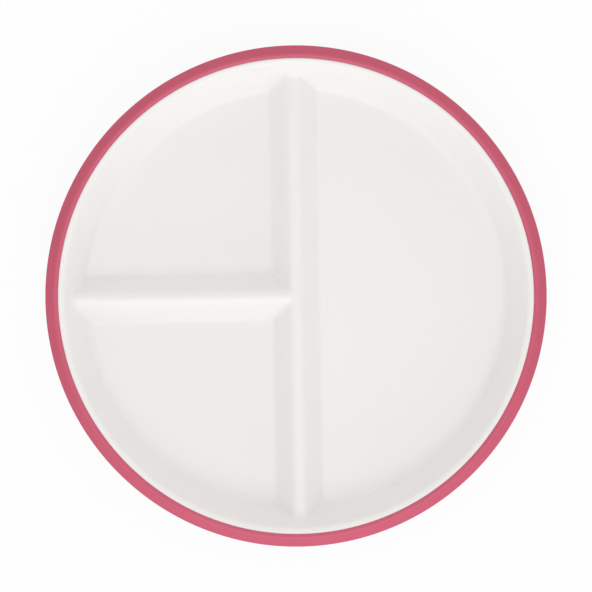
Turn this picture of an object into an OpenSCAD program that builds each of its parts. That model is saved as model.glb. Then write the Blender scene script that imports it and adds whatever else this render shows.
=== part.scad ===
// Divided plate for a small child: a white moulding with three compartments, a coloured ring that
// lifts off its rim, and a soft ring in its foot that keeps it from sliding on the table.
// Millimetres. +Z is up, and the origin is on the table under the middle of the plate.
// The long divider runs along Y, and the large compartment is on the +X side.

/* [Plate] */
// Diameter of the floor, where the lines of the floor and the wall meet
floor_d = 178; // [150:1:210]
// Depth inside, from the floor to the top of the lip
depth = 19.5; // [15:0.5:26]
// Lean of the wall from upright, in degrees
wall_lean = 22.4; // [12:0.2:30]
// Thickness of the moulding, the same in floor, wall and dividers
wall_t = 2.4; // [1.6:0.1:3.2]
// Radius of the fillet between the floor and the wall
floor_fillet = 4; // [3:0.5:8]

/* [Lip] */
// Radius of the rounded lip
lip_r = 2.6; // [2:0.1:4]
// How far the lip falls past its top to meet the ring, in degrees from level
lip_over = 9; // [5:1:40]
// Depth of the ring's seat below the top of the lip
seat_drop = 3.6; // [2.5:0.1:4.5]
// Width of the flat seat that carries the ring
seat_w = 3; // [2:0.1:5]
// Thickness of the flange under the seat
flange_t = 2.2; // [1.6:0.1:3]

/* [Dividers] */
// Height of the dividers above the floor
divider_h = 11.5; // [8:0.5:14]
// Width of a divider at the floor, where the lines of its flanks meet the floor
divider_w = 19.2; // [15:0.2:26]
// Radius of the rounded crest
crest_r = 3.5; // [3.3:0.1:5]
// Radius of the fillet along the foot of a divider
divider_fillet = 2.9; // [1:0.1:5]

/* [Foot] */
// Height of the floor's underside above the table
foot_h = 4.6; // [3.6:0.1:7]
// How far the middle of the soft ring lies inside the floor's edge
foot_inset = 7.5; // [6:0.1:18]
// Thickness of the foot's walls on both sides of the soft ring
foot_wall = 1.8; // [1.2:0.1:2.4]
// Thickness of the end walls that close the hollow under the dividers
core_end_t = 2.4; // [1.2:0.1:4]

/* [Soft ring] */
// Width of the soft ring
grip_w = 4; // [2.5:0.1:6]
// Height of the soft ring below the foot's walls
grip_proud = 0.8; // [0.4:0.1:1.2]
// Depth of the groove that holds the soft ring
groove_h = 1.8; // [1:0.1:2.2]
// Radius of the soft ring's lower edges
grip_edge_r = 0.5; // [0.2:0.1:0.8]

/* [Rim ring] */
// Gap between the ring and the plate's lip and flange
ring_gap = 0.3; // [0.25:0.05:0.5]
// Height of the ring's crest above the top of the lip
ring_rise = 0.6; // [0.3:0.1:1.5]
// Width of the face that looks inwards, from the inner edge to the crest
ring_face_w = 1; // [1:0.1:2]
// Radius of the crest
ring_crest_r = 0.9; // [0.5:0.1:1]
// Thickness of the skirt that goes round the flange
skirt_t = 2.5; // [2:0.1:4]
// How steeply the outer face falls from the crest to the shoulder, in degrees
ring_fall = 52; // [35:1:60]
// Radius of the shoulder between the outer face and the skirt
shoulder_r = 0.8; // [0.5:0.1:1.5]
// Height of the skirt below the snap beads
skirt_below = 1.8; // [1:0.1:4]
// Radius of the skirt's lower edges
skirt_edge_r = 0.6; // [0.3:0.1:0.9]

/* [Snap beads] */
// Number of snap beads inside the skirt
bead_n = 6; // [3:1:12]
// Length of a snap bead round the ring, in degrees
bead_len = 18; // [8:1:24]
// Height of a snap bead
bead_h = 1.2; // [0.8:0.1:1.6]
// How far a snap bead stands out of the skirt
bead_proud = 0.15; // [0.1:0.01:0.2]
// Gap between a snap bead and the underside of the flange
bead_gap = 0.3; // [0.1:0.1:0.8]

/* [Hidden] */
$fn = 180;

// Steps of the profiles' round stretches, and how far a cut runs past what it cuts
arc_steps = 10;
past = 1;

// Least radius inside a divider's crest, and how deep a snap bead is rooted in the skirt
core_crest_r = 0.3;
bead_root = 0.5;

// Heights
floor_z = foot_h + wall_t;
lip_z = floor_z + depth;
seat_z = lip_z - seat_drop;
flange_z = seat_z - flange_t;
ring_z = lip_z + ring_rise;

// Radii of the plate: the wall meets the lip's arc at lip_start, and the lip ends at lip_edge
floor_r = floor_d / 2;
corner_r = floor_r - floor_fillet * tan((90 - wall_lean) / 2);
lip_start_z = lip_z - lip_r * (1 - sin(wall_lean));
lip_c = [wall_r(lip_start_z) + lip_r * cos(wall_lean), lip_z - lip_r];
lip_edge = lip_c + lip_r * [sin(lip_over), cos(lip_over)];
flange_r = lip_edge.x + seat_w;

// Radii of the foot
foot_r = floor_r - foot_inset;
grip_in_r = foot_r - grip_w / 2;
grip_out_r = foot_r + grip_w / 2;
foot_in_r = grip_in_r - foot_wall;
foot_out_r = grip_out_r + foot_wall;

// Radii of the ring, which follows the plate's lip and flange
ring_in_r = lip_edge.x + ring_gap;
ring_crest_c = [ring_in_r + ring_face_w, ring_z - ring_crest_r];
skirt_in_r = flange_r + ring_gap;
ring_out_r = skirt_in_r + skirt_t;
shoulder_run = ring_out_r - shoulder_r - ring_crest_c.x;
shoulder_drop = (shoulder_run * sin(ring_fall) + shoulder_r - ring_crest_r) / cos(ring_fall);
shoulder_c = ring_crest_c + [shoulder_run, -shoulder_drop];
bead_z = flange_z - bead_gap - bead_h;
skirt_z = min(bead_z - skirt_below, shoulder_c.y - skirt_edge_r);

// The angle of a divider's flank from upright, from the tangent between its foot and its crest
crest_c = [0, floor_z + divider_h - crest_r];
flank_run = divider_w / 2;
flank_rise = crest_c.y - floor_z;
flank_lean = 90 - atan2(flank_rise, flank_run) - asin(crest_r / norm([flank_run, flank_rise]));
fillet_c = [flank_run + divider_fillet * tan(45 - flank_lean / 2), floor_z + divider_fillet];

// Inside radius of the wall's line at a height
function wall_r(z) = floor_r + (z - floor_z) * tan(wall_lean);

// Points of an arc about c, from angle a to angle b
function arc(c, r, a, b) =
    [for (i = [0 : arc_steps]) let (t = a + (b - a) * i / arc_steps) c + r * [cos(t), sin(t)]];

// Angle on the circle about c where the line from p touches its side towards the axis
function touch(p, c, r) = 90 + atan2(c.y - p.y, c.x - p.x) + asin(r / norm(c - p));

// Floor, corner and wall of the bowl, set back by t from the inside surface, up to a height
function bowl_line(t, top) = concat(
    [[0, floor_z - t]],
    arc([corner_r, floor_z + floor_fillet], floor_fillet + t, -90, -wall_lean),
    [[wall_r(top) + t / cos(wall_lean), top]]);

// Section of a divider, set back by t from its surface and carried down to a height
function divider_section(t, low) = concat(
    [[fillet_c.x, low]],
    arc(fillet_c, divider_fillet + t, 270, 180 + flank_lean),
    arc(crest_c, max(crest_r - t, core_crest_r), flank_lean, 180 - flank_lean),
    arc([-fillet_c.x, fillet_c.y], divider_fillet + t, -flank_lean, -90),
    [[-fillet_c.x, low]]);

// The bowl filled up to a height, set back by t from the inside surface
module bowl(t, top) {
    rotate_extrude() polygon(concat(bowl_line(t, top), [[0, top]]));
}

// Floor, wall, lip and flange as one turned shell
module shell() {
    inside = bowl_line(0, lip_start_z);
    rotate_extrude() polygon(concat(
        bowl_line(wall_t, flange_z),
        [[flange_r, flange_z], [flange_r, seat_z], [lip_edge.x, seat_z]],
        arc(lip_c, lip_r, 90 - lip_over, 180 - wall_lean),
        [for (i = [len(inside) - 2 : -1 : 0]) inside[i]]));
}

// The long divider along Y and the cross divider from -X to the middle, as one T
module divider_tee(t, low, reach) {
    rotate([90, 0, 0]) linear_extrude(2 * reach, center = true) polygon(divider_section(t, low));
    translate([-reach, 0, 0]) rotate([90, 0, 90]) linear_extrude(reach) polygon(divider_section(t, low));
}

module plate_body() {
    color("white") difference() {
        union() {
            shell();
            intersection() {
                divider_tee(0, floor_z - wall_t / 2, ring_out_r);
                bowl(wall_t / 2, lip_z);
            }
            rotate_extrude() translate([foot_in_r, grip_proud])
                square([foot_out_r - foot_in_r, floor_z - wall_t / 2 - grip_proud]);
        }
        intersection() {
            divider_tee(wall_t, foot_h - past, ring_out_r);
            cylinder(h = lip_z, r = foot_in_r - core_end_t);
        }
        rotate_extrude() translate([grip_in_r, grip_proud - past]) square([grip_w, groove_h + past]);
    }
}

module rim_ring() {
    lean = touch([ring_in_r, lip_edge.y], ring_crest_c, ring_crest_r);
    edge_in = [skirt_in_r + skirt_edge_r, skirt_z + skirt_edge_r];
    edge_out = [ring_out_r - skirt_edge_r, skirt_z + skirt_edge_r];
    color("palevioletred") union() {
        rotate_extrude() polygon(concat(
            [[ring_in_r, seat_z], [skirt_in_r, seat_z]],
            arc(edge_in, skirt_edge_r, 180, 270),
            arc(edge_out, skirt_edge_r, 270, 360),
            arc(shoulder_c, shoulder_r, 0, 90 - ring_fall),
            arc(ring_crest_c, ring_crest_r, 90 - ring_fall, lean),
            [[ring_in_r, lip_edge.y]]));
        for (i = [0 : bead_n - 1])
            rotate([0, 0, (i + 0.5) * 360 / bead_n - bead_len / 2]) rotate_extrude(angle = bead_len)
                translate([skirt_in_r, bead_z]) polygon([
                    [bead_root, 0],
                    [bead_root, bead_h],
                    [0, bead_h],
                    [-bead_proud, bead_h / 2],
                    [0, 0]]);
    }
}

module foot_ring() {
    edge_in = [grip_in_r + grip_edge_r, grip_edge_r];
    edge_out = [grip_out_r - grip_edge_r, grip_edge_r];
    top = grip_proud + groove_h;
    color("palevioletred") rotate_extrude() polygon(concat(
        arc(edge_in, grip_edge_r, 180, 270),
        arc(edge_out, grip_edge_r, 270, 360),
        [[grip_out_r, top], [grip_in_r, top]]));
}

plate_body();
rim_ring();
foot_ring();
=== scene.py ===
import math

import bmesh
import bpy
import numpy as np
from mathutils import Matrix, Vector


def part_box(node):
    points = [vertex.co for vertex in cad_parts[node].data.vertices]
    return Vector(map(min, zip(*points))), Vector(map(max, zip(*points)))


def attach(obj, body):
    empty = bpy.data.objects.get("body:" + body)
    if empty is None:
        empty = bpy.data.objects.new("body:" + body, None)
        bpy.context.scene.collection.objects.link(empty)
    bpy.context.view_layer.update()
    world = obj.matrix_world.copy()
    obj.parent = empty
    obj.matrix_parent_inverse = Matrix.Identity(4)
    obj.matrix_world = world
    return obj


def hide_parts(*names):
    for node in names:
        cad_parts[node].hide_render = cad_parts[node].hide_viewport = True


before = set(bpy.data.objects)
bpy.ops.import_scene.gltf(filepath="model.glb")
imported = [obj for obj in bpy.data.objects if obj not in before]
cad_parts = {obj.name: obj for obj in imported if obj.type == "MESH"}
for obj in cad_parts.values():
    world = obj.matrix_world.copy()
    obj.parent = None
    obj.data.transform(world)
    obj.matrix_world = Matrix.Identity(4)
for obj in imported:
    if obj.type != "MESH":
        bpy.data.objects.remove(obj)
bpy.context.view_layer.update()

# Plate moulding: floor, leaning wall, rounded lip, flange and T-shaped divider in one piece of white
# polypropylene. It is injection moulded, so all corners are filleted and the wall is even all over.
# A turned bowl gives the top and the underside, and a node tree raises the dividers out of both.
MM = 0.001
plate_low, plate_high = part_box("plate_body")
depth = 19.5 * MM
wall_t = 2.4 * MM
wall_lean = 22.4
lip_r = 2.6 * MM
lip_over = 9
floor_fillet = 4 * MM
seat_w = 3 * MM
seat_drop = 3.6 * MM
flange_t = 2.2 * MM
edge_r = 0.3 * MM
seam_r = 0.1 * MM
lip_z = plate_high.z
floor_z = lip_z - depth
under_z = floor_z - wall_t
seat_z = lip_z - seat_drop
flange_z = seat_z - flange_t
flange_r = plate_high.y
slope = math.tan(math.radians(wall_lean))
lip_c = (flange_r - seat_w - lip_r * math.sin(math.radians(lip_over)), lip_z - lip_r)
lip_start_r = lip_c[0] - lip_r * math.cos(math.radians(wall_lean))
lip_start_z = lip_c[1] + lip_r * math.sin(math.radians(wall_lean))
floor_r = lip_start_r - (lip_start_z - floor_z) * slope
corner_c = (floor_r - floor_fillet * math.tan(math.radians(45 - wall_lean / 2)), floor_z + floor_fillet)
outer_wall_r = floor_r + (flange_z - floor_z) * slope + wall_t / math.cos(math.radians(wall_lean))

# The foot band, with the groove that holds the soft ring, and where the hollow under the dividers ends
foot_z = plate_low.z
grip_low, grip_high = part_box("foot_ring")
grip_w = 4 * MM
grip_out_r = grip_high.y
grip_in_r = grip_out_r - grip_w
foot_wall = 1.8 * MM
core_end_r = grip_in_r - foot_wall - wall_t

# The dividers: a round crest, and flanks that run from it to the floor
divider_h = 11.5 * MM
divider_half = 9.6 * MM
crest_r = 3.5 * MM
crest_c_z = floor_z + divider_h - crest_r
flank_rise = crest_c_z - floor_z
flank_lean = math.pi / 2 - math.atan2(flank_rise, divider_half) - math.asin(
    crest_r / math.hypot(divider_half, flank_rise))


def arc(centre, radius, start, end, steps):
    """Points of an arc in a turned profile, as radius and height, between two angles in degrees."""
    turn = np.radians(np.linspace(start, end, steps + 1))
    return np.column_stack((centre[0] + radius * np.cos(turn), centre[1] + radius * np.sin(turn)))


def rounded(corners, steps=3):
    """Points of a profile through corners, each given as radius, height and how far its edge is rounded."""
    spots = np.array(corners)
    points = [spots[0, :2]]
    for before, corner, after in zip(spots, spots[1:], spots[2:]):
        middle = corner[:2]
        start, end = (middle + corner[2] * (way[:2] - middle) / np.linalg.norm(way[:2] - middle)
                      for way in (before, after))
        for t in np.linspace(0, 1, steps + 1):
            points.append((1 - t) ** 2 * start + 2 * t * (1 - t) * middle + t * t * end)
    return np.array(points + [spots[-1, :2]])


def filled(points, count):
    """The same profile with points added in its widest steps, until it has that many."""
    while len(points) < count:
        widest = np.argmax(np.linalg.norm(np.diff(points, axis=0), axis=1))
        points = np.insert(points, widest + 1, (points[widest] + points[widest + 1]) / 2, axis=0)
    return points


def level(radii, height):
    """A level profile, as radius and height, through these radii."""
    return np.column_stack((radii, np.full(radii.size, height)))


def turned_sheet(name, profile, spread):
    """A round sheet of square cells. Each ring of cells takes one point of the profile, and the lines
    across the rings run beside the two axes, where the dividers are, as far off as spread says."""
    lines = np.arange(1 - len(profile), len(profile))
    across, along = np.meshgrid(lines, lines, indexing="ij")
    ring = np.maximum(abs(across), abs(along))
    x = np.sign(across) * spread[abs(across)]
    y = np.sign(along) * spread[abs(along)]
    sideways = abs(x) >= abs(y)
    share = np.where(sideways, y, x) / np.where(ring == 0, 1, np.where(sideways, x, y))
    turn = np.where(sideways, share * math.pi / 4 + math.pi * (x < 0),
                    math.pi / 2 - share * math.pi / 4 + math.pi * (y < 0))
    radius, height = profile[ring, 0], profile[ring, 1]
    spots = np.stack((radius * np.cos(turn), radius * np.sin(turn), height), axis=-1).reshape(-1, 3)
    number = np.arange(ring.size).reshape(ring.shape)
    cells = np.stack((number[:-1, :-1], number[1:, :-1], number[1:, 1:], number[:-1, 1:]), axis=-1)
    mesh = bpy.data.meshes.new(name)
    mesh.from_pydata(spots.tolist(), [], cells.reshape(-1, 4).tolist())
    return mesh


def add(tree, kind, settings, sockets):
    """Add a node with its settings, and give each socket a value or the output of another node."""
    node = tree.nodes.new(kind)
    for name, value in settings.items():
        setattr(node, name, value)
    for socket, value in sockets.items():
        if isinstance(value, bpy.types.Node):
            value = next(output for output in value.outputs if output.enabled)
        if isinstance(value, bpy.types.NodeSocket):
            tree.links.new(value, node.inputs[socket])
        else:
            node.inputs[socket].default_value = value
    return node


def calc(tree, operation, *values):
    """Add a math node that works on values or on the outputs of other nodes."""
    return add(tree, "ShaderNodeMath", {"operation": operation}, dict(enumerate(values)))


def from_axis(tree, axes):
    """Distance from the plate's upright axis, from the separated coordinates."""
    in_plan = add(tree, "ShaderNodeCombineXYZ", {}, {0: axes["X"], 1: axes["Y"]})
    return add(tree, "ShaderNodeVectorMath", {"operation": "LENGTH"}, {0: in_plan}).outputs["Value"]


def new_tree(name, inputs):
    """An empty geometry node tree with named inputs, besides the geometry and the material."""
    tree = bpy.data.node_groups.new(name, "GeometryNodeTree")
    tree.interface.new_socket("Geometry", in_out="INPUT", socket_type="NodeSocketGeometry")
    for label, kind in inputs.items():
        tree.interface.new_socket(label, in_out="INPUT", socket_type=kind)
    tree.interface.new_socket("Material", in_out="INPUT", socket_type="NodeSocketMaterial")
    tree.interface.new_socket("Geometry", in_out="OUTPUT", socket_type="NodeSocketGeometry")
    return tree


def end_tree(tree, geometry, material):
    """End a geometry node tree: its geometry goes out as a real mesh with its material."""
    real = add(tree, "GeometryNodeRealizeInstances", {}, {"Geometry": geometry})
    finished = add(tree, "GeometryNodeSetMaterial", {}, {"Geometry": real, "Material": material})
    add(tree, "NodeGroupOutput", {}, {"Geometry": finished})


def grown(mesh, tree, values):
    """Run a node tree on a mesh, with its inputs set by name, and return the result as a plain mesh."""
    blank = bpy.data.objects.new(mesh.name, mesh)
    bpy.context.scene.collection.objects.link(blank)
    nodes = blank.modifiers.new(tree.name, "NODES")
    nodes.node_group = tree
    for item in tree.interface.items_tree:
        if item.in_out == "INPUT" and item.name in values:
            nodes[item.identifier] = values[item.name]
    result = bpy.data.meshes.new_from_object(blank.evaluated_get(bpy.context.evaluated_depsgraph_get()))
    bpy.data.objects.remove(blank)
    return result


def shown(name, mesh):
    """Put a finished mesh in the scene as a piece of that name."""
    piece = bpy.data.objects.new(name, mesh)
    bpy.context.scene.collection.objects.link(piece)
    return piece


# The rings of cells: fine across the dividers, coarse on the flat floor, then along the wall's profile
fine_r = 14.4 * MM
fine_count = 24
flat_r = 72 * MM
flat_count = 20
wall_count = 16
floor_rings = np.concatenate((np.linspace(0, fine_r, fine_count, endpoint=False),
                              np.linspace(fine_r, flat_r, flat_count, endpoint=False)))
wall_rings = np.linspace(0, 1, wall_count + 1)[1:-1, None]
corner_arc = arc(corner_c, floor_fillet, -90, -wall_lean, steps=15)
lip_arc = arc(lip_c, lip_r, 180 - wall_lean, 90 - lip_over, steps=14)
lip_step = rounded([
    (*lip_arc[-2], 0),
    (*lip_arc[-1], seam_r),
    (lip_arc[-1][0], seat_z, edge_r),
    (flange_r, seat_z, edge_r),
    (flange_r, (seat_z + flange_z) / 2, 0)])
inside = np.concatenate((
    [(flat_r, floor_z)],
    corner_arc,
    corner_arc[-1] + wall_rings * (lip_arc[0] - corner_arc[-1]),
    lip_arc[:-1],
    lip_step[1:]))

# The underside has close rings where the hollow under the dividers ends, and its corner starts just
# outside the foot band
end_before = 2.7 * MM
end_after = 0.9 * MM
end_count = 13
core_end_rings = np.linspace(core_end_r - end_before, core_end_r + end_after, end_count)
outer_start = -86
outer_arc = arc(corner_c, floor_fillet + wall_t, outer_start, -wall_lean, steps=8)
foot_band = rounded([
    (core_end_rings[-1], under_z, 0),
    (grip_in_r - foot_wall, under_z, 2 * edge_r),
    (grip_in_r - foot_wall, foot_z, edge_r),
    (grip_in_r, foot_z, edge_r),
    (grip_in_r, grip_high.z, edge_r),
    (grip_out_r, grip_high.z, edge_r),
    (grip_out_r, foot_z, edge_r),
    (grip_out_r + foot_wall, foot_z, edge_r),
    (grip_out_r + foot_wall, under_z, edge_r),
    (*outer_arc[0], 0)])
flange_step = rounded([
    (*outer_arc[-1], 0),
    (outer_wall_r, flange_z, 3 * edge_r),
    (flange_r, flange_z, edge_r),
    (flange_r, (seat_z + flange_z) / 2, 0)])
outside = np.concatenate((
    level(core_end_rings, under_z),
    foot_band[1:],
    outer_arc[1:],
    flange_step[1:]))

# Both sheets have the same number of rings, and the lines across them keep a least step apart
least_step = 0.02 * MM
ring_count = max(len(inside), len(outside))
top_profile = np.concatenate((level(floor_rings, floor_z), filled(inside, ring_count)))
under_profile = np.concatenate((level(floor_rings, under_z), filled(outside, ring_count)))
line_spread = np.maximum.accumulate(top_profile[:, 0]) + np.arange(len(top_profile)) * least_step

divider_tree = new_tree("raised_dividers", {
    "Crest height": "NodeSocketFloat",
    "Crest radius": "NodeSocketFloat",
    "Flank lean": "NodeSocketFloat",
    "Valley fillet": "NodeSocketFloat",
    "Foot fillet": "NodeSocketFloat",
    "Floor height": "NodeSocketFloat",
    "Fillet growth": "NodeSocketFloat",
    "Largest fillet": "NodeSocketFloat",
    "Reach": "NodeSocketFloat",
    "End slope": "NodeSocketFloat"})
given = add(divider_tree, "NodeGroupInput", {}, {}).outputs
place = add(divider_tree, "GeometryNodeInputPosition", {}, {})
axes = add(divider_tree, "ShaderNodeSeparateXYZ", {}, {0: place}).outputs

# Distance from the nearer crest line; the cross divider is pushed a metre away on the large side
from_long = calc(divider_tree, "ABSOLUTE", axes["X"])
beside_cross = calc(divider_tree, "ABSOLUTE", axes["Y"])
large_side = calc(divider_tree, "GREATER_THAN", axes["X"], 0.0)
from_cross = calc(divider_tree, "ADD", beside_cross, large_side)
nearest = calc(divider_tree, "SMOOTH_MIN", from_long, from_cross, given["Valley fillet"])
off_axis = calc(divider_tree, "MAXIMUM", nearest, 0.0)

# Height of the ridge there: the crest's arc, then the flank's straight fall
lean_cosine = calc(divider_tree, "COSINE", given["Flank lean"])
crest_half = calc(divider_tree, "MULTIPLY", given["Crest radius"], lean_cosine)
on_crest = calc(divider_tree, "MINIMUM", off_axis, crest_half)
run_square = calc(divider_tree, "MULTIPLY", on_crest, on_crest)
radius_square = calc(divider_tree, "MULTIPLY", given["Crest radius"], given["Crest radius"])
rise_square = calc(divider_tree, "SUBTRACT", radius_square, run_square)
crest_rise = calc(divider_tree, "SQRT", rise_square)
crest_z = calc(divider_tree, "ADD", given["Crest height"], crest_rise)
past_crest = calc(divider_tree, "SUBTRACT", off_axis, on_crest)
lean_tangent = calc(divider_tree, "TANGENT", given["Flank lean"])
flank_fall = calc(divider_tree, "DIVIDE", past_crest, lean_tangent)
ridge_z = calc(divider_tree, "SUBTRACT", crest_z, flank_fall)

# The ridge ends at its reach, and a fillet that grows up the wall joins it to the sheet
to_end = calc(divider_tree, "SUBTRACT", given["Reach"], from_axis(divider_tree, axes))
end_rise = calc(divider_tree, "MULTIPLY", to_end, given["End slope"])
end_z = calc(divider_tree, "ADD", axes["Z"], end_rise)
ended_z = calc(divider_tree, "MINIMUM", ridge_z, end_z)
up_wall = calc(divider_tree, "SUBTRACT", axes["Z"], given["Floor height"])
grown_fillet = calc(divider_tree, "MULTIPLY_ADD", up_wall, given["Fillet growth"], given["Foot fillet"])
fillet = calc(divider_tree, "MINIMUM", grown_fillet, given["Largest fillet"])
surface_z = calc(divider_tree, "SMOOTH_MAX", axes["Z"], ended_z, fillet)
lifted = add(divider_tree, "ShaderNodeCombineXYZ", {}, {0: axes["X"], 1: axes["Y"], 2: surface_z})
moulded = add(divider_tree, "GeometryNodeSetPosition", {},
              {"Geometry": given["Geometry"], "Position": lifted})
end_tree(divider_tree, moulded, given["Material"])


def new_material(name):
    """A material with an empty node tree."""
    material = bpy.data.materials.new(name)
    material.use_nodes = True
    material.node_tree.nodes.clear()
    return material


def linear(code):
    """Linear colour of an sRGB hex value."""
    parts = [int(code[i:i + 2], 16) / 255 for i in (1, 3, 5)]
    return [p / 12.92 if p <= 0.04045 else ((p + 0.055) / 1.055) ** 2.4 for p in parts] + [1.0]


def noise(tree, spot, size, detail):
    """Noise over a piece, with patches of that size."""
    return add(tree, "ShaderNodeTexNoise", {}, {"Vector": spot, "Scale": 1 / size, "Detail": detail})


def tinted(tree, share, first, second):
    """Colour between two sRGB hex values, by a share. The node takes two colours in sockets 6 and 7."""
    return add(tree, "ShaderNodeMix", {"data_type": "RGBA"}, {0: share, 6: linear(first), 7: linear(second)})


# Moulded polypropylene with a satin gloss: close to white, a little warmer where the melt flowed
# thick, with a gloss that wanders slightly and the faint waviness of a polished mould
white_plastic = new_material("moulded_polypropylene_satin_white")
tree = white_plastic.node_tree
spot = add(tree, "ShaderNodeTexCoord", {}, {}).outputs["Object"]
flow = noise(tree, spot, 40 * MM, 2.0)
tint = tinted(tree, flow, "#f5f3f1", "#f6f4f3")
haze = noise(tree, spot, 9 * MM, 3.0)
gloss = add(tree, "ShaderNodeMapRange", {}, {"Value": haze, "To Min": 0.36, "To Max": 0.4})
wave = noise(tree, spot, 2.5 * MM, 1.0)
relief = add(tree, "ShaderNodeBump", {}, {"Strength": 0.012, "Distance": 0.02 * MM, "Height": wave})
skin = add(tree, "ShaderNodeBsdfPrincipled", {},
           {"Base Color": tint, "Roughness": gloss, "IOR": 1.49, "Normal": relief,
            "Subsurface Weight": 0.4, "Subsurface Radius": (1.0, 0.95, 0.9), "Subsurface Scale": 0.7 * MM})
add(tree, "ShaderNodeOutputMaterial", {}, {"Surface": skin})

top_sheet = grown(turned_sheet("plate_top", top_profile, line_spread), divider_tree, {
    "Crest height": crest_c_z,
    "Crest radius": crest_r,
    "Flank lean": flank_lean,
    "Valley fillet": 3.5 * MM,
    "Foot fillet": 2.6 * MM,
    "Floor height": floor_z,
    "Fillet growth": 1.8,
    "Largest fillet": 8 * MM,
    "Reach": lip_c[0],
    "End slope": 12.0,
    "Material": white_plastic})
under_sheet = grown(turned_sheet("plate_underside", under_profile, line_spread), divider_tree, {
    "Crest height": crest_c_z,
    "Crest radius": crest_r - wall_t,
    "Flank lean": flank_lean,
    "Valley fillet": 7 * MM,
    "Foot fillet": 4.8 * MM,
    "Floor height": under_z,
    "Fillet growth": 0.0,
    "Largest fillet": 4.8 * MM,
    "Reach": core_end_r,
    "End slope": 6.0,
    "Material": white_plastic})

# The two sheets are joined at the flange's edge into one closed moulding
weld_gap = 0.001 * MM
shell = bmesh.new()
shell.from_mesh(under_sheet)
bmesh.ops.reverse_faces(shell, faces=shell.faces)
shell.from_mesh(top_sheet)
bmesh.ops.remove_doubles(shell, verts=shell.verts, dist=weld_gap)
shell.to_mesh(top_sheet)
shell.free()
top_sheet.shade_smooth()
plate = shown("plate_moulding", top_sheet)
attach(plate, "plate")
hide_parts("plate_body")

# Rim ring: a separate pink plastic ring that sits on the flange, round the white lip. It has a narrow
# face that looks inwards, a crest, a straight outer face and a skirt with six snap beads inside.
# A node tree turns its section round the plate and swells the beads out of the skirt.
ring_low, ring_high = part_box("rim_ring")
ring_gap = 0.3 * MM
seam_gap = 0.04 * MM
ring_face_w = 1 * MM
ring_crest_r = 0.9 * MM
ring_fall = 52
shoulder_r = 0.8 * MM
skirt_t = 2.5 * MM
skirt_edge_r = 0.6 * MM
ring_out_r = ring_high.y
skirt_in_r = ring_out_r - skirt_t
lip_edge_r, lip_edge_z = lip_arc[-1]
ring_in_r = lip_edge_r + seam_gap
ring_crest_c = np.array((lip_edge_r + ring_gap + ring_face_w, ring_high.z - ring_crest_r))
shoulder_run = ring_out_r - shoulder_r - ring_crest_c[0]
shoulder_drop = (shoulder_run * math.tan(math.radians(ring_fall))
                 + (shoulder_r - ring_crest_r) / math.cos(math.radians(ring_fall)))
shoulder_c = ring_crest_c + (shoulder_run, -shoulder_drop)
ring_edge = np.array((ring_in_r, lip_edge_z))
to_crest = ring_crest_c - ring_edge
face_turn = 90 + math.degrees(
    math.atan2(to_crest[1], to_crest[0]) + math.asin(ring_crest_r / np.linalg.norm(to_crest)))

# The snap beads: their section gives how far up a bead each point is, and how far it stands out
bead_count = 6
bead_len = 18
bead_h = 1.2 * MM
bead_proud = 0.15 * MM
bead_gap = 0.3 * MM
bead_z = flange_z - bead_gap - bead_h
bead_shape = np.array([[0, 0], [0.2, 0.45], [0.35, 0.85], [0.5, 1], [0.65, 0.85], [0.8, 0.45], [1, 0]])

ring_tree = new_tree("turned_ring", {
    "Radius": "NodeSocketFloat",
    "Segments": "NodeSocketInt",
    "Bead count": "NodeSocketFloat",
    "Bead share": "NodeSocketFloat",
    "Bead depth": "NodeSocketFloat"})
given = add(ring_tree, "NodeGroupInput", {}, {}).outputs
section = add(ring_tree, "GeometryNodeMeshToCurve", {}, {"Mesh": given["Geometry"]})
path = add(ring_tree, "GeometryNodeCurvePrimitiveCircle", {},
           {"Resolution": given["Segments"], "Radius": given["Radius"]})
swept = add(ring_tree, "GeometryNodeCurveToMesh", {}, {"Curve": path, "Profile Curve": section})
place = add(ring_tree, "GeometryNodeInputPosition", {}, {})
axes = add(ring_tree, "ShaderNodeSeparateXYZ", {}, {0: place}).outputs

# A bead stands in the middle of each pitch, at full height over four fifths of its length
bearing = calc(ring_tree, "ARCTAN2", axes["Y"], axes["X"])
turns = calc(ring_tree, "DIVIDE", bearing, 2 * math.pi)
pitches = calc(ring_tree, "MULTIPLY", turns, given["Bead count"])
phase = calc(ring_tree, "FRACT", pitches)
from_bead = calc(ring_tree, "SUBTRACT", phase, 0.5)
bead_off = calc(ring_tree, "ABSOLUTE", from_bead)
bead_half = calc(ring_tree, "MULTIPLY", given["Bead share"], 0.5)
bead_full = calc(ring_tree, "MULTIPLY", given["Bead share"], 0.4)
bead_span = add(ring_tree, "ShaderNodeMapRange", {"interpolation_type": "SMOOTHSTEP"},
                {"Value": bead_off, "From Min": bead_half, "From Max": bead_full})
bead_part = add(ring_tree, "GeometryNodeInputNamedAttribute", {}, {"Name": "bead"})
bead_swell = calc(ring_tree, "MULTIPLY", bead_span, bead_part)
inward = calc(ring_tree, "MULTIPLY", bead_swell, given["Bead depth"])
push = calc(ring_tree, "MULTIPLY", inward, -1.0)
in_plan = add(ring_tree, "ShaderNodeCombineXYZ", {}, {0: axes["X"], 1: axes["Y"]})
outward = add(ring_tree, "ShaderNodeVectorMath", {"operation": "NORMALIZE"}, {0: in_plan})
swell = add(ring_tree, "ShaderNodeVectorMath", {"operation": "SCALE"}, {0: outward, "Scale": push})
beaded = add(ring_tree, "GeometryNodeSetPosition", {}, {"Geometry": swept, "Offset": swell})
end_tree(ring_tree, beaded, given["Material"])


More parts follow.
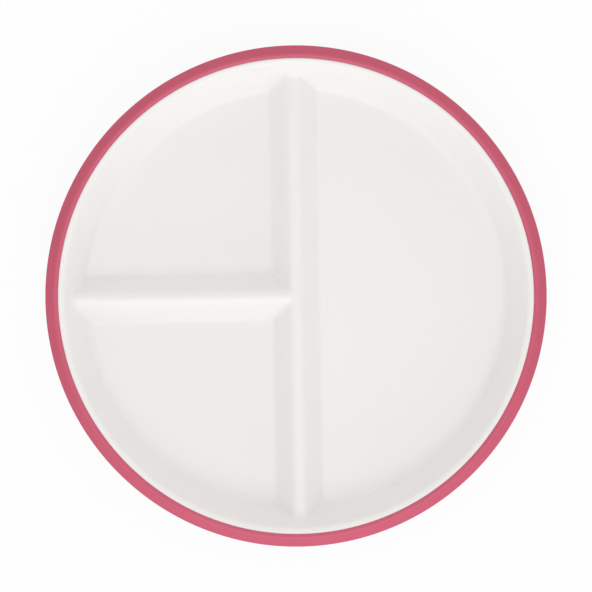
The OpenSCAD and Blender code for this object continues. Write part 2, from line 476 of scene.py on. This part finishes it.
def turned_ring(name, section, bead, values):
    """A closed ring from its section, given as radius and height. Bead says how much each point swells."""
    loop = bpy.data.meshes.new(name)
    count = len(section)
    spots = [(radius - values["Radius"], -height, 0) for radius, height in section]
    loop.from_pydata(spots, [(i, (i + 1) % count) for i in range(count)], [])
    loop.attributes.new("bead", "FLOAT", "POINT").data.foreach_set("value", bead)
    ring = grown(loop, ring_tree, values)
    shape = bmesh.new()
    shape.from_mesh(ring)
    bmesh.ops.recalc_face_normals(shape, faces=shape.faces)
    shape.to_mesh(ring)
    shape.free()
    ring.shade_smooth()
    return ring


# Pink polypropylene from a spark-eroded mould: matte with a fine even grain on the outer face and the
# skirt, and polished to a satin gloss on the face that looks inwards, where food touches it.
# The grain is drawn at 0.5 mm, about twice its real size, so that it shows in the picture.
pink_plastic = new_material("moulded_polypropylene_satin_pink")
tree = pink_plastic.node_tree
spot = add(tree, "ShaderNodeTexCoord", {}, {}).outputs["Object"]
flow = noise(tree, spot, 18 * MM, 2.0)
tint = tinted(tree, flow, "#cc5670", "#d25c76")
grain = noise(tree, spot, 0.5 * MM, 2.0)
axes = add(tree, "ShaderNodeSeparateXYZ", {}, {0: spot}).outputs
finish = add(tree, "ShaderNodeMapRange", {},
             {"Value": from_axis(tree, axes), "From Min": ring_crest_c[0],
              "From Max": ring_crest_c[0] + ring_crest_r, "To Min": 0.28, "To Max": 0.68})
gloss = calc(tree, "MULTIPLY_ADD", grain, 0.1, finish)
relief = add(tree, "ShaderNodeBump", {}, {"Strength": 0.2, "Distance": 0.03 * MM, "Height": grain})
skin = add(tree, "ShaderNodeBsdfPrincipled", {},
           {"Base Color": tint, "Roughness": gloss, "IOR": 1.49, "Normal": relief})
add(tree, "ShaderNodeOutputMaterial", {}, {"Surface": skin})

bead_points = np.column_stack((np.full(len(bead_shape), skirt_in_r), bead_z + bead_shape[::-1, 0] * bead_h))
ring_crest = arc(ring_crest_c, ring_crest_r, 90 - ring_fall, face_turn, steps=12)
ring_inside = rounded([
    (*ring_crest[-1], 0),
    (*ring_edge, seam_r),
    (ring_in_r, seat_z, edge_r),
    (skirt_in_r, seat_z, edge_r),
    (*bead_points[0], 0)])[1:-1]
ring_outside = np.concatenate((
    arc((skirt_in_r + skirt_edge_r, ring_low.z + skirt_edge_r), skirt_edge_r, 180, 270, steps=5),
    arc((ring_out_r - skirt_edge_r, ring_low.z + skirt_edge_r), skirt_edge_r, 270, 360, steps=5),
    arc(shoulder_c, shoulder_r, 0, 90 - ring_fall, steps=8),
    ring_crest))
outside_count = 44
ring_section = np.concatenate((ring_inside, bead_points, filled(ring_outside, outside_count)))
ring_bead = np.zeros(len(ring_section))
ring_bead[len(ring_inside):len(ring_inside) + len(bead_shape)] = bead_shape[:, 1]
ring = shown("rim_ring_moulding", turned_ring("rim_ring_moulding", ring_section, ring_bead, {
    "Radius": skirt_in_r,
    "Segments": 360,
    "Bead count": float(bead_count),
    "Bead share": bead_len * bead_count / 360,
    "Bead depth": bead_proud,
    "Material": pink_plastic}))
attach(ring, "rim_ring")
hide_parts("rim_ring")

# Foot ring: a soft pink ring of thermoplastic rubber, pressed into the groove of the foot. It keeps
# the plate from sliding, and only its rounded lower edge shows, 0.8 mm below the white foot.
soft_rubber = new_material("thermoplastic_rubber_matte_pink")
tree = soft_rubber.node_tree
spot = add(tree, "ShaderNodeTexCoord", {}, {}).outputs["Object"]
bloom = noise(tree, spot, 6 * MM, 3.0)
tint = tinted(tree, bloom, "#bd5468", "#c75f73")
grain = noise(tree, spot, 0.35 * MM, 2.0)
relief = add(tree, "ShaderNodeBump", {}, {"Strength": 0.3, "Distance": 0.03 * MM, "Height": grain})
skin = add(tree, "ShaderNodeBsdfPrincipled", {},
           {"Base Color": tint, "Roughness": 0.75, "IOR": 1.5, "Normal": relief})
add(tree, "ShaderNodeOutputMaterial", {}, {"Surface": skin})

grip_edge_r = 0.5 * MM
grip_section = np.concatenate((
    arc((grip_in_r + grip_edge_r, grip_low.z + grip_edge_r), grip_edge_r, 180, 270, steps=5),
    arc((grip_out_r - grip_edge_r, grip_low.z + grip_edge_r), grip_edge_r, 270, 360, steps=5),
    [(grip_out_r, grip_high.z), (grip_in_r, grip_high.z)]))
grip = shown("foot_ring_grip", turned_ring("foot_ring_grip", grip_section, np.zeros(len(grip_section)), {
    "Radius": grip_in_r,
    "Segments": 240,
    "Bead count": 1.0,
    "Bead share": 0.0,
    "Bead depth": 0.0,
    "Material": soft_rubber}))
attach(grip, "plate")
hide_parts("foot_ring")

# Table: a plain sheet of paper that the plate stands on. It looks white to the camera and in reflections,
# with part of the plate's soft shadow, and throws back less light at the plate than it shows.
table_half = 4.0
table_mesh = bpy.data.meshes.new("table_sheet")
table_mesh.from_pydata(
    [(-table_half, -table_half, 0), (table_half, -table_half, 0),
     (table_half, table_half, 0), (-table_half, table_half, 0)], [], [(0, 1, 2, 3)])


def seen_ray(tree):
    """1 for a ray from the camera, off a gloss or through a surface, and 0 for one that carries light."""
    ray = add(tree, "ShaderNodeLightPath", {}, {}).outputs
    mirror_ray = calc(tree, "MAXIMUM", ray["Is Glossy Ray"], ray["Is Transmission Ray"])
    return calc(tree, "MAXIMUM", ray["Is Camera Ray"], mirror_ray)


white_paper = new_material("matte_white_paper")
tree = white_paper.node_tree
glow_share = 0.9
shade = add(tree, "ShaderNodeBsdfDiffuse", {}, {"Color": linear("#ffffff")})
glow = add(tree, "ShaderNodeEmission", {}, {"Color": linear("#ffffff"), "Strength": 1.0})
white = add(tree, "ShaderNodeMixShader", {}, {0: glow_share, 1: shade, 2: glow})
matte = add(tree, "ShaderNodeBsdfDiffuse", {}, {"Color": linear("#cfcfce")})
paper = add(tree, "ShaderNodeMixShader", {}, {0: seen_ray(tree), 1: matte, 2: white})
add(tree, "ShaderNodeOutputMaterial", {}, {"Surface": paper})
table_mesh.materials.append(white_paper)
table = shown("table_sheet", table_mesh)

# Studio light: an even tent, a little warm, with cooler soft boxes round the plate that look at its middle.
# Each row gives the side it stands on and its climb in degrees, its size in metres and its power.
world = bpy.data.worlds.new("white_tent")
world.use_nodes = True
bpy.context.scene.world = world
tree = world.node_tree
tree.nodes.clear()
tent = add(tree, "ShaderNodeBackground", {}, {"Color": linear("#fffbf9"), "Strength": 0.71})
backdrop = add(tree, "ShaderNodeBackground", {}, {"Color": linear("#ffffff"), "Strength": 1.0})
sky = add(tree, "ShaderNodeMixShader", {}, {0: seen_ray(tree), 1: tent, 2: backdrop})
add(tree, "ShaderNodeOutputWorld", {}, {"Surface": sky})

box_distance = 1.4
box_colour = "#f3fdff"
soft_boxes = {
    "front_low": (-90, 15, 1.4, 0.6, 3.8),
    "front_high": (-90, 60, 1.2, 1.0, 4.75),
    "right": (0, 22, 1.4, 0.6, 0.92),
    "back": (90, 22, 1.4, 0.6, 1.85)}
for name, (side, climb, width, height, power) in soft_boxes.items():
    lamp = bpy.data.lights.new(f"soft_box_{name}", "AREA")
    lamp.shape = "RECTANGLE"
    lamp.size = width
    lamp.size_y = height
    lamp.energy = power
    lamp.color = linear(box_colour)[:3]
    holder = bpy.data.objects.new(lamp.name, lamp)
    side, climb = math.radians(side), math.radians(climb)
    holder.location = [box_distance * part for part in (
        math.cos(side) * math.cos(climb), math.sin(side) * math.cos(climb), math.sin(climb))]
    holder.rotation_euler = (math.pi / 2 - climb, 0, side + math.pi / 2)
    bpy.context.scene.collection.objects.link(holder)

# Camera: straight above the plate, a metre over its rim, turned one degree as in the photograph
camera_gap = 1.0
camera_turn = -1.0
frame_width = 246.7 * MM
camera_data = bpy.data.cameras.new("camera")
camera_data.sensor_width = 36.0
camera_data.lens = camera_data.sensor_width * camera_gap / frame_width
camera = bpy.data.objects.new("camera", camera_data)
camera.location = (0, 0, lip_z + camera_gap)
camera.rotation_euler = (0, 0, math.radians(camera_turn))
bpy.context.scene.collection.objects.link(camera)
bpy.context.scene.camera = camera
bpy.context.scene.view_settings.view_transform = "Standard"
